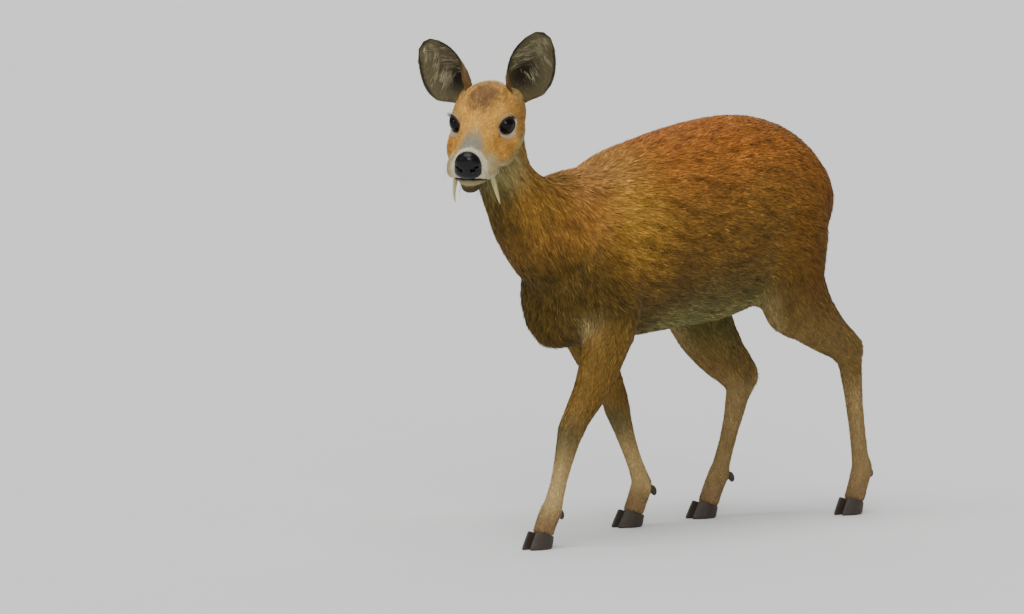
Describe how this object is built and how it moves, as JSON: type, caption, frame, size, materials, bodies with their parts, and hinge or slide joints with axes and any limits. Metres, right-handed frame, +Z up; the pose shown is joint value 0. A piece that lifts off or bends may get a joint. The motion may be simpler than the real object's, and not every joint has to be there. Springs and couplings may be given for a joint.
{
  "type": "chinese water deer",
  "caption": "Small antlerless deer buck with long curved upper tusks, walking with its head turned to one side; a still, life-size figure that stands on its hooves.",
  "frame": {"origin": "on the floor, under the middle of the box that holds the deer", "axes": "-Y is the way the deer walks, +X is its left side, +Z is up"},
  "size_m": [0.2024, 0.8098, 0.6537],
  "materials": {
    "coat": "short dense chestnut fur",
    "neck_coat": "short olive brown fur",
    "face_coat": "very short tan fur",
    "leg_coat": "short brown fur",
    "ear_coat": "thin grey brown fur over skin",
    "eye": "wet, glossy black",
    "nose": "moist black skin",
    "tusk": "ivory",
    "horn": "dark horn"
  },
  "bodies": {
    "root": {"dewclaw_fore_left_a": "horn", "dewclaw_fore_left_b": "horn", "dewclaw_fore_right_a": "horn", "dewclaw_fore_right_b": "horn", "dewclaw_hind_left_a": "horn", "dewclaw_hind_left_b": "horn", "dewclaw_hind_right_a": "horn", "dewclaw_hind_right_b": "horn", "ear_left": "ear_coat", "ear_right": "ear_coat", "eye_left": "eye", "eye_right": "eye", "head": "face_coat", "hoof_fore_left_a": "horn", "hoof_fore_left_b": "horn", "hoof_fore_right_a": "horn", "hoof_fore_right_b": "horn", "hoof_hind_left_a": "horn", "hoof_hind_left_b": "horn", "hoof_hind_right_a": "horn", "hoof_hind_right_b": "horn", "leg_fore_left": "leg_coat", "leg_fore_right": "leg_coat", "leg_hind_left": "leg_coat", "leg_hind_right": "leg_coat", "neck": "neck_coat", "nose": "nose", "tail": "coat", "torso": "coat", "tusk_left": "tusk", "tusk_right": "tusk"}
  },
  "joints": []
}
